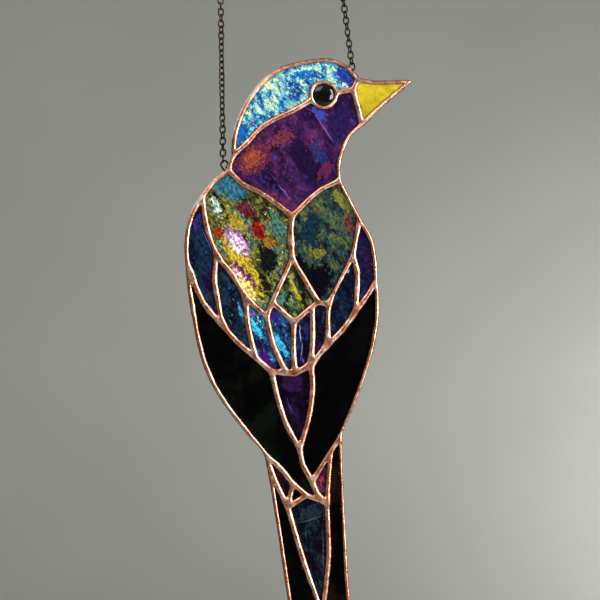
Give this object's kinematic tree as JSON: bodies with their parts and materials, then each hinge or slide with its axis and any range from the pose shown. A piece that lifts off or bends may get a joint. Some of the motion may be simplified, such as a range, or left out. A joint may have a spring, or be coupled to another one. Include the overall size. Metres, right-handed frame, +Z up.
{
  "type": "stained glass suncatcher",
  "caption": "Hanging bird of coloured and black glass panes joined by copper-coloured solder seams, on two fine dark chains that end in rings.",
  "frame": {"origin": "bearing point inside the top of the left hanging ring", "axes": "+Z up, +X towards the tip of the beak, -Y out of the front face"},
  "size_m": [0.1263, 0.014, 0.3821],
  "materials": {
    "sky_glass": "streaky blue and pale green art glass, slightly rippled",
    "purple_glass": "iridised purple art glass with rust and blue mottling",
    "yellow_glass": "opaque mustard yellow glass",
    "moss_glass": "iridised green, gold and crimson art glass",
    "teal_glass": "dark teal and olive iridised glass",
    "indigo_glass": "very dark blue iridised glass",
    "blue_glass": "bright blue iridised glass",
    "black_glass": "glossy opaque black glass",
    "copper_solder": "polished solder with a copper patina, rounded beads",
    "dark_wire": "black patina"
  },
  "bodies": {
    "root": {"solder_seams": "copper_solder", "crown_pane": "sky_glass", "neck_pane": "purple_glass", "beak_pane": "yellow_glass", "left_mantle_pane": "moss_glass", "right_mantle_pane": "teal_glass", "diamond_pane": "teal_glass", "left_shoulder_pane": "indigo_glass", "left_covert_pane_1": "indigo_glass", "left_covert_pane_2": "blue_glass", "centre_covert_pane_1": "blue_glass", "centre_covert_pane_2": "indigo_glass", "right_covert_pane_1": "indigo_glass", "right_covert_pane_2": "indigo_glass", "right_shoulder_pane": "indigo_glass", "left_wing_pane": "black_glass", "right_wing_pane": "black_glass", "rump_pane": "indigo_glass", "left_tail_triangle_pane": "purple_glass", "small_tail_triangle_pane": "black_glass", "right_tail_triangle_pane": "purple_glass", "tail_quill_pane": "indigo_glass", "left_tail_pane": "black_glass", "right_tail_pane": "black_glass", "eye_gem": "black_glass", "left_hanging_ring": "dark_wire", "left_chain": "dark_wire", "left_wire_loop": "dark_wire", "right_hanging_ring": "dark_wire", "right_chain": "dark_wire", "right_wire_loop": "dark_wire"}
  },
  "joints": []
}
